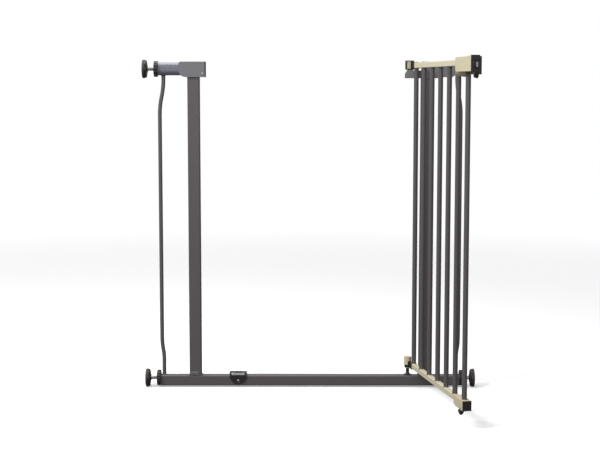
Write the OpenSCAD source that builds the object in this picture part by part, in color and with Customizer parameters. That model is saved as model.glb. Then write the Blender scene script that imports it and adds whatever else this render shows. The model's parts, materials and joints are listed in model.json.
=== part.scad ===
// Pressure-fit safety gate: a U-shaped steel frame, a lift-and-swing door and four wall spindles.
// Origin: middle of the threshold rail's underside. +X along the rail, +Y away from the side
// the door opens to, +Z up. The door is drawn open, as it rests.

/* [Frame] */
// Height of the top of the latch receiver above the rail's underside
frame_top = 750; // [700:1:900]
// Half the length of the threshold rail
rail_half = 348; // [348:0.5:352]
// Height of the threshold rail
rail_h = 24; // [24:0.1:24.3]
// Depth of the threshold rail
rail_d = 22; // [21:0.5:24]
// Distance of each post's centre from the middle
post_x = 266.5; // [265.5:0.5:267]
// Width of each post
post_w = 28; // [24:0.5:28]
// Wall thickness of the steel tubes
wall = 1.5; // [1:0.1:1.8]

/* [Side bars] */
// Diameter of the two bowed side bars
bow_d = 9; // [7:0.5:9]
// Distance of a side bar's upper end from the middle
bow_top_x = 335.5; // [334:0.5:338]
// Distance of a side bar's lower end from the middle
bow_low_x = 340; // [334:0.5:341]
// Distance of a side bar's long straight from the middle
bow_mid_x = 344.5; // [342.5:0.5:347]

/* [Wall spindles] */
// Diameter of the threaded rods
rod_d = 8; // [7:0.5:8]
// Height of the two lower rods
rod_low_z = 17; // [15:0.5:17]
// Length of rod that shows between a hand wheel and its pad
rod_gap = 13.2; // [13.2:0.1:24]
// Diameter of the hand wheels
wheel_d = 36; // [32:1:40]
// Diameter of the wall pads
pad_d = 42; // [38:1:46]

/* [Door] */
// Angle the door stands open at rest
open_angle = 101.4; // [90:0.1:101.4]
// Distance of the hinge line from the middle
hinge_x = 227.6; // [227.2:0.1:228]
// Distance between door bars
bar_pitch = 62; // [61.8:0.1:62.2]
// Diameter of the door bars
bar_d = 10.8; // [8:0.1:10.8]
// Setback of the bars and rails from the hinge line
bar_w = -8.8; // [-9:0.1:-8.6]

/* [Hidden] */
$fn = 48;

charcoal = [0.37, 0.35, 0.35];
satin_blue = [0.50, 0.50, 0.56];
moulded_grey = [0.48, 0.47, 0.49];
near_black = [0.20, 0.19, 0.19];
cream = [0.89, 0.86, 0.76];
bright_steel = [0.75, 0.75, 0.77];
rubber_black = [0.13, 0.12, 0.11];

over = 1;              // how far a cutter reaches past what it cuts
run_fit = 0.05;        // radial clearance of a running fit
slack = 0.3;           // gap between parts that move past each other

post_d = rail_d - 2;
post_r = 3;
rail_r = 3;

// Upper tubes, with flat sides and round top and bottom
tube_z = frame_top - 17;
tube_w = 22;
tube_h = 29;
tube_inner_end = 282.5;
plug_len = 20;

// Wall spindles
wheel_t = 9.5;
wheel_hub_d = 15;
wheel_hub_t = 1.5;
wheel_flutes = 14;
wheel_flute_r = 2.6;
wheel_in = rail_half + slack;
wheel_out = wheel_in + wheel_t;
pad_in = wheel_out + rod_gap;
pad_t = 12;
cup_t = 6.5;
cup_neck_r = 8;
rod_seat = 4;
rod_in = rail_half - 45;
rod_r = rod_d / 2;

// Housings at the tops of the posts
shell_y = 14;
receiver_out = 300;
receiver_in = 238.9;
receiver_low = frame_top - 35.4;
receiver_high = frame_top - 0.4;
end_plate_t = 1.5;
corner_small = 6;
corner_large = 16;
post_top = frame_top - 9;
housing_low = frame_top - 38;
shelf_z = frame_top - 20.5;
hinge_shell_y = 12.5;
housing_out = 328;
skirt_end = 290;
skirt_run = 5;
skirt_drop = 2.3;
shelf_in = 216.6;
shelf_chamfer_x = 4.5;
shelf_chamfer_z = 7.5;
hinge_step_x = 254;
right_post_top = shelf_z - 2.5;

// Screws shared by the two housings
screw_r = 1.3;
screw_head_r = 2.4;
screw_head_t = 1;
receiver_screw_x = -245.4;
receiver_screw_low = frame_top - 28;
receiver_screw_high = frame_top - 4.4;
hinge_screw_x = 240.5;
hinge_screw_z = frame_top - 28;
hinge_far_screw_x = 285.3;
hinge_far_screw_z = frame_top - 34.8;

// Hinge pins, bushes and knuckles
pin_r = 3;
bush_r = 5;
flange_r = 7;
flange_t = 1.5;
stem_r = 3.85;
stem_foot_r = 9.3;
stem_foot_h = 7;
stem_top = 40.5;
stem_socket = 6;
low_flange_z = stem_top + slack;
low_bush_top = 62;
low_pin_top = 60;
up_flange_z = shelf_z + slack;
up_bush_top = frame_top - 2;
up_pin_top = frame_top - 3;
up_pin_foot = frame_top - 36;
lift_gap = 0.2;
key_r = 6.1;
key_w = 2;
barrel_r = 7.5;
low_barrel_top = 65;
low_bore_top = 63;
arm_end = 23;
arm_start = 7.6;
arm_wall = 1.4;

// Door rails
rail_w = 11;
door_rail_h = 13;
door_rail_r = 2;
door_wall = 1.2;
low_rail_z = 48.3;
top_rail_z = frame_top - 9.4;
rail_start = 9;
top_rail_end = 402;
low_rail_end = 400;
bar_first = 21.8;
bar_low = low_rail_z + door_rail_h / 2;
bar_high = top_rail_z - door_rail_h / 2;

// Handle and latch
handle_rear_w = 9.3;
handle_front_w = -18.3;
handle_slim_w = -12.2;
handle_low = frame_top - 27.5;
handle_high = frame_top + 1.5;
collar_start = 338;
collar_end = 364.2;
collar_lip_low = frame_top - 36.5;
handle_start = 365;
handle_end = 462;
handle_taper_start = 405;
handle_taper_end = 432;
handle_screw_u = 402;
shell_split_w = -3;
end_plate_end = 465;
end_plate_low = frame_top - 34;
end_plate_high = frame_top + 4;
bolt_low = frame_top - 19.5;
bolt_high = frame_top - 10;
bolt_half_w = 2.5;
bolt_start = 418;
bolt_tip = 472;
bolt_slope_start = 466;
bolt_tip_w = 0.5;
bolt_travel = 9;
bolt_z = (bolt_low + bolt_high) / 2;
spring_start = 403.2;
spring_seat = 402.5;
spring_r = 2.6;
spring_wire_r = 0.5;
spring_turns = 5;
slide_stem_start = 438;
slide_stem_end = 444;

// Boot, drop pin and threshold catch
boot_start = 350;
boot_end = 409;
boot_low = 35.8;
boot_high = 56.3;
boot_front_w = -18.4;
boot_rear_w = 0.1;
boot_cap_end = 412;
drop_u = 395;
drop_w = -2;
drop_r = 3;
drop_tip = 24.4;
drop_top = 40.5;
holder_tip_r = 4;
holder_r = 6.3;
holder_low = 26.6;
holder_shoulder = 32.5;
catch_x = hinge_x - drop_u;
catch_w = 39.5;
catch_face = rail_d / 2 + 2.5;
catch_high = 30.5;
catch_back = 9;

// ---- helpers -------------------------------------------------------------------------------

// Stands a drawing in x and z up, solid from y = from to y = to
module thick_y(from, to) {
    translate([0, to, 0]) rotate([90, 0, 0]) linear_extrude(to - from) children();
}

// Runs a drawing in y and z along x
module thick_x(from, to) {
    translate([from, 0, 0]) rotate([90, 0, 90]) linear_extrude(to - from) children();
}

// Moves what is drawn about the hinge line to the open door
module on_door() {
    translate([hinge_x, 0, 0]) rotate([0, 0, open_angle]) children();
}

// The same for a drawing in distance along the door and height, solid between two setbacks
module door_side(from_w, to_w) {
    mirror([1, 0, 0]) thick_y(from_w, to_w) children();
}

// A block on the door, given by distance along it, setback and height
module door_block(u, w, z) {
    translate([-u[1], w[0], z[0]]) cube([u[1] - u[0], w[1] - w[0], z[1] - z[0]]);
}

// An upright cylinder on the door
module door_post(u, w, r, z) {
    translate([-u, w, z[0]]) cylinder(r = r, h = z[1] - z[0]);
}

module rounded(w, h, r) {
    square([w - 2 * r, h], center = true);
    square([w, h - 2 * r], center = true);
    for (x = [-1, 1], y = [-1, 1])
        translate([x * (w / 2 - r), y * (h / 2 - r)]) circle(r = r);
}

// Flat-sided oval, taller than wide
module flat_oval(w, h) {
    square([w, h - w], center = true);
    for (side = [-1, 1]) translate([0, side * (h - w) / 2]) circle(d = w);
}

module mirrored(is_left) {
    mirror([is_left ? 1 : 0, 0, 0]) children();
}

// A pan-head screw along -y, its head's underside at y = 0
module pan_screw(length) {
    rotate([90, 0, 0]) {
        translate([0, 0, 0]) cylinder(r = screw_r, h = length);
        translate([0, 0, -screw_head_t]) cylinder(r = screw_head_r, h = screw_head_t);
    }
}

// ---- frame ---------------------------------------------------------------------------------

module bottom_rail() color(charcoal) difference() {
    translate([0, 0, rail_h / 2]) thick_x(-rail_half, rail_half) difference() {
        rounded(rail_d, rail_h, rail_r);
        rounded(rail_d - 2 * wall, rail_h - 2 * wall, rail_r - wall / 2);
    }
    translate([catch_x, 0, rail_h / 2]) rotate([90, 0, 0]) cylinder(r = 2, h = rail_d);
}

module post(top) {
    translate([post_x, 0, rail_h]) linear_extrude(top - rail_h) difference() {
        rounded(post_w, post_d, post_r);
        rounded(post_w - 2 * wall, post_d - 2 * wall, post_r - wall / 2);
    }
}

module left_post() color(charcoal) mirrored(true) post(post_top);
module right_post() color(charcoal) post(right_post_top);

module top_tube() {
    translate([0, 0, tube_z]) thick_x(tube_inner_end, rail_half) difference() {
        flat_oval(tube_w, tube_h);
        flat_oval(tube_w - 2 * wall, tube_h - 2 * wall);
    }
}

module left_top_tube() color(satin_blue) mirrored(true) top_tube();
module right_top_tube() color(satin_blue) top_tube();

// One bend of a bowed bar: an arc that starts upright at the origin's +x side
module bow_arc(r, angle) {
    rotate([90, 0, 0]) rotate_extrude(angle = angle) translate([r, 0]) circle(d = bow_d);
}

// A double bend that carries the bar from one upright line to another
module s_bend(from_x, to_x, from_z, to_z) {
    run = to_z - from_z;
    shift = to_x - from_x;
    angle = 2 * atan(abs(shift) / run);
    r = run / 2 / sin(angle);
    turn = shift > 0 ? 1 : 0;
    translate([from_x, 0, from_z]) mirror([turn, 0, 0]) translate([-r, 0, 0]) bow_arc(r, angle);
    translate([to_x, 0, to_z]) rotate([0, 180, 0]) mirror([turn, 0, 0])
        translate([-r, 0, 0]) bow_arc(r, angle);
}

module bow_bar() {
    low_bend = [60, 112];
    top_bend = [frame_top - 122, frame_top - 38];
    difference() {
        union() {
            translate([bow_low_x, 0, rail_h]) cylinder(d = bow_d, h = low_bend[0] - rail_h);
            s_bend(bow_low_x, bow_mid_x, low_bend[0], low_bend[1]);
            translate([bow_mid_x, 0, low_bend[1]]) cylinder(d = bow_d, h = top_bend[0] - low_bend[1]);
            s_bend(bow_mid_x, bow_top_x, top_bend[0], top_bend[1]);
            translate([bow_top_x, 0, top_bend[1]])
                cylinder(d = bow_d, h = tube_z - tube_h / 2 + 4 - top_bend[1]);
        }
        translate([0, 0, tube_z]) thick_x(tube_inner_end, rail_half) flat_oval(tube_w, tube_h);
    }
}

module left_bow_bar() color(charcoal) mirrored(true) bow_bar();
module right_bow_bar() color(charcoal) bow_bar();

module rod_bore(z, from, to) {
    translate([from, 0, z]) rotate([0, 90, 0]) cylinder(r = rod_r + run_fit, h = to - from);
}

module tube_end_plugs() color(near_black) for (side = [0, 1]) mirrored(side == 1) difference() {
    translate([0, 0, tube_z]) thick_x(rail_half - plug_len, rail_half)
        flat_oval(tube_w - 2 * wall, tube_h - 2 * wall);
    rod_bore(tube_z, rail_half - plug_len - over, rail_half + over);
}

module rail_end_plugs() color(near_black) for (side = [0, 1]) mirrored(side == 1) difference() {
    translate([0, 0, rail_h / 2]) thick_x(rail_half - plug_len, rail_half)
        rounded(rail_d - 2 * wall, rail_h - 2 * wall, rail_r - wall / 2);
    rod_bore(rod_low_z, rail_half - plug_len - over, rail_half + over);
}

module post_foot_clips() color(bright_steel) for (side = [0, 1]) mirrored(side == 1)
    translate([post_x - 8, -post_d / 2 - 0.8, rail_h + 4]) cube([20, 0.8, 4.5]);

// ---- latch receiver ------------------------------------------------------------------------

// Outline of the receiver: square at the latch end, rounded at the wall end
module receiver_outline() {
    left = -receiver_out;
    right = -receiver_in - end_plate_t;
    polygon([[left, receiver_low + corner_large], [left + corner_large, receiver_low],
        [right, receiver_low], [right, receiver_high], [left + corner_small, receiver_high],
        [left, receiver_high - corner_small]]);
    translate([left + corner_large, receiver_low + corner_large]) circle(r = corner_large);
    translate([left + corner_small, receiver_high - corner_small]) circle(r = corner_small);
}

// The space the receiver keeps free for the post, the tube, the bolt and the screws
module receiver_space() {
    mirrored(true) {
        translate([post_x, 0, 0]) linear_extrude(post_top) rounded(post_w, post_d, post_r);
        translate([0, 0, tube_z]) thick_x(tube_inner_end, rail_half) flat_oval(tube_w, tube_h);
    }
    bolt_pocket(-receiver_in - 11);
    for (z = [receiver_screw_low, receiver_screw_high])
        translate([receiver_screw_x, shell_y - 2, z]) rotate([90, 0, 0])
            cylinder(r = screw_r, h = 2 * shell_y - 4);
    translate([receiver_screw_x, 0, receiver_screw_low]) rotate([90, 0, 0])
        cylinder(r = screw_r, h = shell_y + over);
    translate([receiver_screw_x, shell_y + over, receiver_screw_high]) rotate([90, 0, 0])
        cylinder(r = screw_r, h = shell_y);
}

module bolt_pocket(from_x) {
    translate([from_x, -bolt_half_w - 2, bolt_low - 2])
        cube([-receiver_in + over - from_x, 2 * bolt_half_w + 4, bolt_high - bolt_low + 4]);
}

module receiver_front() color(moulded_grey) difference() {
    thick_y(-shell_y, 0) receiver_outline();
    receiver_space();
}

module receiver_rear() color(moulded_grey) difference() {
    thick_y(0, shell_y) receiver_outline();
    receiver_space();
}

module receiver_end_plate() color(near_black) difference() {
    translate([-receiver_in - end_plate_t, -shell_y, receiver_low])
        cube([end_plate_t, 2 * shell_y, receiver_high - receiver_low]);
    bolt_pocket(-receiver_in - 3);
}

module housing_screws() color(bright_steel) {
    translate([receiver_screw_x, -shell_y, receiver_screw_low]) rotate([0, 0, 180])
        pan_screw(2 * shell_y - 2);
    translate([receiver_screw_x, shell_y, receiver_screw_high]) pan_screw(2 * shell_y - 2);
    for (place = [[hinge_screw_x, hinge_screw_z], [hinge_far_screw_x, hinge_far_screw_z]])
        translate([place[0], hinge_shell_y, place[1]]) pan_screw(2 * hinge_shell_y - 2);
}

// ---- hinge housing -------------------------------------------------------------------------

module hinge_housing_outline() {
    right = housing_out;
    body_low = housing_low + skirt_drop;
    polygon([[shelf_in, housing_low], [skirt_end, housing_low], [skirt_end + skirt_run, body_low],
        [right - corner_small, body_low], [right, body_low + corner_small],
        [right, receiver_high - corner_small], [right - corner_small, receiver_high],
        [hinge_step_x, receiver_high],
        [hinge_step_x, shelf_z], [shelf_in + shelf_chamfer_x, shelf_z],
        [shelf_in, shelf_z - shelf_chamfer_z]]);
    for (z = [body_low + corner_small, receiver_high - corner_small])
        translate([right - corner_small, z]) circle(r = corner_small);
}

module hinge_housing_space() {
    translate([post_x, 0, 0]) linear_extrude(right_post_top) rounded(post_w, post_d, post_r);
    translate([0, 0, tube_z]) thick_x(tube_inner_end, rail_half) flat_oval(tube_w, tube_h);
    translate([hinge_x, 0, up_pin_foot]) cylinder(r = pin_r, h = frame_top - up_pin_foot);
    for (hole = [[hinge_screw_x, hinge_screw_z], [hinge_far_screw_x, hinge_far_screw_z]])
        translate([hole[0], hinge_shell_y + over, hole[1]]) rotate([90, 0, 0])
            cylinder(r = screw_r, h = 2 * hinge_shell_y - 1);
}

module hinge_housing_front() color(moulded_grey) difference() {
    thick_y(-hinge_shell_y, 0) hinge_housing_outline();
    hinge_housing_space();
}

module hinge_housing_rear() color(moulded_grey) difference() {
    thick_y(0, hinge_shell_y) hinge_housing_outline();
    hinge_housing_space();
}

// ---- threshold catch -----------------------------------------------------------------------

catch_slope_low = rail_h + 1;
catch_slope_y = catch_face - 3;

module catch_base() color(near_black) difference() {
    intersection() {
        translate([catch_x, 0, 0]) thick_x(-catch_w / 2, catch_w / 2)
            polygon([[-catch_face, 2], [-rail_d / 2, 2], [-rail_d / 2, rail_h], [catch_back, rail_h],
                [catch_back, catch_high], [-catch_slope_y, catch_high],
                [-catch_face, catch_slope_low]]);
        translate([catch_x, 0, 0]) thick_y(-catch_face - over, catch_back + over) {
            translate([0, rail_h]) circle(d = catch_w);
            translate([-catch_w / 2, rail_h]) square([catch_w, catch_high - rail_h + over]);
        }
    }
    translate([catch_x - 7.5, drop_w - 6.6, rail_h - over])
        cube([15, 13.2, catch_high - rail_h + 2 * over]);
    translate([catch_x, -catch_face + 1.5, rail_h / 2]) rotate([90, 0, 0])
        cylinder(r = 5.75, h = 1.5 + over);
    translate([catch_x, 0, rail_h / 2]) rotate([90, 0, 0]) cylinder(r = 2, h = catch_face);
}

// Bent steel strip on the catch's sloping lip, where the drop pin rides up
module catch_strike() color(bright_steel) {
    thick = 0.8;
    rise = [catch_face - catch_slope_y, catch_high - catch_slope_low];
    length = norm(rise);
    along = rise / length;
    out = [-along[1], along[0]] * thick;
    foot = [-catch_face, catch_slope_low] + along * 0.4;
    head = [-catch_face, catch_slope_low] + along * (length - 0.6);
    translate([catch_x, 0, 0]) thick_x(-15, 15) polygon([foot, head, head + out, foot + out]);
}

module catch_screw() color(bright_steel) translate([catch_x, 0, rail_h / 2]) rotate([90, 0, 0]) {
    translate([0, 0, rail_d / 2 - 7]) cylinder(r = 2, h = 8);
    translate([0, 0, rail_d / 2 + 1]) intersection() {
        cylinder(r = 3.5, h = 1.3);
        translate([0, 0, -4.2]) sphere(r = 5.5);
    }
}

// ---- hinges --------------------------------------------------------------------------------

module lower_hinge_stem() color(near_black) translate([hinge_x, 0, 0]) rotate_extrude()
    polygon([[0, rail_h], [stem_foot_r, rail_h], [stem_foot_r, rail_h + 1],
        [stem_r, rail_h + stem_foot_h], [stem_r, stem_top], [pin_r, stem_top],
        [pin_r, stem_top - stem_socket], [0, stem_top - stem_socket]]);

module hinge_pins() color(bright_steel) translate([hinge_x, 0, 0]) {
    translate([0, 0, stem_top - stem_socket])
        cylinder(r = pin_r, h = low_pin_top - stem_top + stem_socket);
    translate([0, 0, up_pin_foot]) cylinder(r = pin_r, h = up_pin_top - up_pin_foot);
}

// Flanged bush that turns on its pin; its key turns with the knuckle, which lifts along it
module hinge_bush(from_z, to_z) on_door() difference() {
    union() {
        cylinder_between(flange_r, from_z, from_z + flange_t);
        cylinder_between(bush_r, from_z, to_z);
        translate([0, -key_w / 2, from_z]) cube([key_r, key_w, to_z - from_z]);
    }
    cylinder_between(pin_r + run_fit, from_z - over, to_z + over);
}

module cylinder_between(r, from_z, to_z) {
    translate([0, 0, from_z]) cylinder(r = r, h = to_z - from_z);
}

module lower_hinge_bush() color(cream) hinge_bush(low_flange_z, low_bush_top);
module upper_hinge_bush() color(cream) hinge_bush(up_flange_z, up_bush_top);

// The keyed hole a knuckle slides on its bush with
module knuckle_bore(from_z, to_z) {
    cylinder_between(bush_r + run_fit, from_z - over, to_z);
    translate([0, -key_w / 2 - slack / 2, from_z - over])
        cube([key_r + slack, key_w + slack, to_z - from_z + over]);
}

// Socket that holds the hinge end of a door rail
module knuckle_arm(rail_z) {
    half_h = door_rail_h / 2 + arm_wall;
    half_w = rail_w / 2 + arm_wall;
    translate([0, bar_w, rail_z]) thick_x(-arm_end, -arm_start)
        rounded(2 * half_w, 2 * half_h, door_rail_r);
}

module rail_socket(rail_z) {
    translate([0, bar_w, rail_z]) thick_x(-arm_end - over, -rail_start)
        rounded(rail_w, door_rail_h, door_rail_r);
}

module bar_socket(index, r = bar_d / 2) {
    door_post(bar_first + index * bar_pitch, bar_w, r, [low_rail_z, top_rail_z]);
}

module lower_knuckle() color(near_black) on_door() difference() {
    bottom = low_flange_z + flange_t + lift_gap;
    union() {
        knuckle_arm(low_rail_z);
        cylinder_between(barrel_r, bottom, low_barrel_top);
        door_block([0, arm_start], [-barrel_r, 1.5], [bottom, low_rail_z + 8]);
    }
    rail_socket(low_rail_z);
    knuckle_bore(bottom, low_bore_top);
    bar_socket(0);
}

module lower_knuckle_cover() color(cream) on_door() difference() {
    cylinder_between(barrel_r + 1.2, low_rail_z + 0.7, low_barrel_top + 2);
    cylinder_between(barrel_r, low_rail_z, low_barrel_top);
    door_block([-2, 12], [-12, 1.8], [low_rail_z, low_rail_z + door_rail_h / 2 + 2.5]);
}

module upper_knuckle() color(near_black) on_door() difference() {
    bottom = up_flange_z + flange_t + lift_gap;
    union() {
        knuckle_arm(top_rail_z);
        translate([0.25, 1, bottom]) linear_extrude(frame_top + 2 - bottom)
            rounded(16.5, 18, 3.5);
    }
    rail_socket(top_rail_z);
    knuckle_bore(bottom, frame_top - 0.5);
    bar_socket(0);
}

module upper_knuckle_cover() color(cream) on_door()
    door_block([8, 9.5], [0.9, 8.6], [frame_top - 16.5, frame_top - 0.5]);

// ---- door frame ----------------------------------------------------------------------------

module door_rail(rail_z, end) on_door() translate([0, bar_w, rail_z]) thick_x(-end, -rail_start)
    difference() {
        rounded(rail_w, door_rail_h, door_rail_r);
        rounded(rail_w - 2 * door_wall, door_rail_h - 2 * door_wall, door_rail_r - door_wall / 2);
    }

module door_top_rail() color(cream) door_rail(top_rail_z, top_rail_end);
module door_bottom_rail() color(cream) door_rail(low_rail_z, low_rail_end);

module door_bar(index) color(charcoal) on_door()
    door_post(bar_first + index * bar_pitch, bar_w, bar_d / 2, [bar_low, bar_high]);

// ---- handle and latch ----------------------------------------------------------------------

module handle_plan() {
    polygon([[collar_start, 0.4], [handle_start - 1, handle_rear_w], [handle_end, handle_rear_w],
        [handle_end, handle_slim_w], [handle_taper_end, handle_slim_w],
        [handle_taper_start, handle_front_w], [handle_start, handle_front_w],
        [collar_start, -17.8]]);
}

module handle_side() {
    polygon([[collar_start, top_rail_z - 7.8], [345, collar_lip_low + 1.5], [347, collar_lip_low],
        [360, collar_lip_low], [collar_end, collar_lip_low + 4], [handle_start, handle_low + 4],
        [handle_start + 6, handle_low], [handle_end, handle_low],
        [handle_end, handle_high], [handle_start, handle_high], [356, handle_high - 1],
        [collar_start, top_rail_z + 7.8]]);
}

// The handle's outer form between two setbacks and two distances along the door
module handle_form(u, w) intersection() {
    door_side(w[0], w[1]) intersection() {
        handle_side();
        translate([u[0], 0]) square([u[1] - u[0], 2 * frame_top]);
    }
    mirror([1, 0, 0]) translate([0, 0, collar_lip_low - 1]) linear_extrude(60) handle_plan();
}

// Everything the handle keeps free: rail, last bar, bolt, spring, slide and screws
module handle_space() {
    translate([0, bar_w, top_rail_z]) thick_x(-top_rail_end, -collar_start + over)
        rounded(rail_w, door_rail_h, door_rail_r);
    bar_socket(6);
    door_block([spring_seat, handle_end + over], [-bolt_half_w - slack, bolt_half_w + slack],
        [bolt_low - slack, bolt_high + slack]);
    door_block([slide_stem_start - bolt_travel - 0.5, slide_stem_end + 0.5],
        [-bolt_half_w - slack, bolt_half_w + slack], [bolt_high, handle_high + over]);
    for (u = [handle_screw_u, 450]) translate([-u, handle_front_w, handle_low + 4]) rotate([-90, 0, 0])
        cylinder(r = screw_r, h = handle_rear_w - handle_front_w - 2);
}

module handle_collar() color(cream) on_door() difference() {
    handle_form([collar_start, collar_end], [handle_front_w, handle_rear_w]);
    handle_space();
}

module handle_front_shell() color(cream) on_door() difference() {
    handle_form([handle_start, handle_end], [handle_front_w, shell_split_w]);
    handle_space();
}

module handle_rear_shell() color(cream) on_door() difference() {
    handle_form([handle_start, handle_end], [shell_split_w, handle_rear_w]);
    handle_space();
}

module handle_screws() color(bright_steel) on_door()
    for (place = [[handle_screw_u, handle_front_w], [450, handle_slim_w]])
        translate([-place[0], place[1], handle_low + 4]) rotate([0, 0, 180])
            pan_screw(handle_rear_w - place[1] - 2.5);

// Dark plate that closes the handle's free end
module latch_end_plate() color(near_black) on_door() difference() {
    door_block([handle_end, end_plate_end], [handle_slim_w, handle_rear_w],
        [end_plate_low, end_plate_high]);
    door_block([handle_end - over, end_plate_end + over], [-7.5, 5.5],
        [end_plate_low - over, frame_top - 29.2]);
    door_block([handle_end - over, end_plate_end + over],
        [-bolt_half_w - slack, bolt_half_w + slack], [bolt_low - slack, bolt_high + slack]);
    door_block([handle_end + 1.2, end_plate_end + over], [-6, 4], [frame_top - 27.6, bolt_low - 1]);
    door_block([handle_end + 1.8, end_plate_end + over], [-9, 6], [frame_top - 8, frame_top - 6]);
    door_block([handle_end - over, end_plate_end + over], [handle_slim_w - over, -8.5],
        [frame_top + 1.6, end_plate_high + over]);
}

module latch_bolt() color(bright_steel) on_door() mirror([1, 0, 0]) translate([0, 0, bolt_low])
    linear_extrude(bolt_high - bolt_low)
        polygon([[bolt_start, -bolt_half_w], [bolt_tip, -bolt_half_w], [bolt_tip, bolt_tip_w],
            [bolt_slope_start, bolt_half_w], [bolt_start, bolt_half_w]]);

module thumb_slide() color(cream) on_door() {
    door_block([slide_stem_start, slide_stem_end], [-bolt_half_w + 0.1, bolt_half_w - 0.1],
        [bolt_high, handle_high + slack]);
    door_side(-5.5, 5.5) polygon([[429, handle_high + slack], [451, handle_high + slack],
        [451, handle_high + 2.2], [447, handle_high + 2.6], [440, handle_high + 1.8],
        [433, handle_high + 1.8], [429, handle_high + 1.2]]);
}

module bolt_spring() color(bright_steel) on_door() {
    pitch = (bolt_start - spring_wire_r - spring_start) / (spring_turns - 1);
    for (i = [0:spring_turns - 1])
        translate([-spring_start - i * pitch, 0, bolt_z]) rotate([0, 90, 0])
            rotate_extrude() translate([spring_r - spring_wire_r, 0]) circle(r = spring_wire_r);
}

// ---- boot and drop pin ---------------------------------------------------------------------

module lower_boot() color(cream) on_door() difference() {
    door_side(boot_front_w, boot_rear_w) polygon([[boot_start, low_rail_z - 8.2],
        [boot_start + 11, boot_low], [boot_end, boot_low], [boot_end, boot_high],
        [boot_start, boot_high]]);
    translate([0, bar_w, low_rail_z]) thick_x(-low_rail_end, -boot_start + over)
        rounded(rail_w, door_rail_h, door_rail_r);
    bar_socket(6);
    door_post(drop_u, drop_w, drop_r, [boot_low - over, drop_top]);
}

module boot_end_cap() color(near_black) on_door()
    door_block([boot_end, boot_cap_end], [boot_front_w, boot_rear_w], [boot_low, boot_high]);

module pin_holder() color(near_black) on_door() translate([-drop_u, drop_w, 0]) rotate_extrude()
    polygon([[drop_r, holder_low], [holder_tip_r, holder_low], [holder_r, holder_shoulder],
        [holder_r, boot_low], [drop_r, boot_low]]);

module drop_pin() color(bright_steel) on_door() translate([-drop_u, drop_w, 0]) rotate_extrude()
    polygon([[0, drop_tip], [drop_r - 1, drop_tip], [drop_r, drop_tip + 1], [drop_r, drop_top],
        [0, drop_top]]);

// ---- wall spindles -------------------------------------------------------------------------

module hand_wheel(z, is_left) color(near_black) mirrored(is_left)
    translate([wheel_in, 0, z]) rotate([0, 90, 0]) difference() {
        union() {
            cylinder(d = wheel_d, h = wheel_t - wheel_hub_t);
            cylinder(d = wheel_hub_d, h = wheel_t);
        }
        for (i = [0:wheel_flutes - 1]) rotate([0, 0, i * 360 / wheel_flutes])
            translate([wheel_d / 2 + wheel_flute_r / 2, 0, -over])
                cylinder(r = wheel_flute_r, h = wheel_t + 2 * over);
        translate([0, 0, -over]) cylinder(r = rod_r + run_fit, h = wheel_t + 2 * over);
    }

module spindle(z, is_left) color(bright_steel) mirrored(is_left)
    translate([rod_in, 0, z]) rotate([0, 90, 0]) cylinder(r = rod_r, h = pad_in + rod_seat - rod_in);

module wall_pad(z, is_left) color(rubber_black) mirrored(is_left)
    translate([pad_in, 0, z]) rotate([0, 90, 0]) rotate_extrude()
        polygon([[rod_r, 0], [cup_neck_r, 0], [cup_neck_r + 2, 1.2], [pad_d / 2 - 2.5, 2.2],
            [pad_d / 2 - 1, 3.6], [pad_d / 2 - 1, cup_t], [pad_d / 2, cup_t], [pad_d / 2, pad_t],
            [0, pad_t], [0, rod_seat], [rod_r, rod_seat]]);

// ---- all nodes -----------------------------------------------------------------------------

bottom_rail();
left_post();
right_post();
left_top_tube();
right_top_tube();
left_bow_bar();
right_bow_bar();
tube_end_plugs();
rail_end_plugs();
post_foot_clips();
receiver_front();
receiver_rear();
receiver_end_plate();
hinge_housing_front();
hinge_housing_rear();
housing_screws();
catch_base();
catch_strike();
catch_screw();
lower_hinge_stem();
hinge_pins();
lower_hinge_bush();
upper_hinge_bush();
upper_knuckle();
upper_knuckle_cover();
lower_knuckle();
lower_knuckle_cover();
door_top_rail();
door_bottom_rail();
door_bar(0);  // door_bar_1
door_bar(1);  // door_bar_2
door_bar(2);  // door_bar_3
door_bar(3);  // door_bar_4
door_bar(4);  // door_bar_5
door_bar(5);  // door_bar_6
door_bar(6);  // door_bar_7
handle_collar();
handle_front_shell();
handle_rear_shell();
handle_screws();
latch_end_plate();
latch_bolt();
thumb_slide();
bolt_spring();
lower_boot();
boot_end_cap();
pin_holder();
drop_pin();
hand_wheel(tube_z, true);  // upper_left_wheel
hand_wheel(tube_z, false);  // upper_right_wheel
hand_wheel(rod_low_z, true);  // lower_left_wheel
hand_wheel(rod_low_z, false);  // lower_right_wheel
spindle(tube_z, true);  // upper_left_spindle
spindle(tube_z, false);  // upper_right_spindle
spindle(rod_low_z, true);  // lower_left_spindle
spindle(rod_low_z, false);  // lower_right_spindle
wall_pad(tube_z, true);  // upper_left_pad
wall_pad(tube_z, false);  // upper_right_pad
wall_pad(rod_low_z, true);  // lower_left_pad
wall_pad(rod_low_z, false);  // lower_right_pad
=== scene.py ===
"""Finished pieces and finishes of a doorway safety gate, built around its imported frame.

Lengths are in metres. The door is modelled in its own closed position, with x towards the hinge
line and y across the door, and each piece is then turned to where the door rests.
"""

import json
import logging
import math
from dataclasses import dataclass
from enum import Enum

import bmesh
import bpy
from bmesh.types import BMEdge, BMesh
from mathutils import Matrix, Vector


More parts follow.
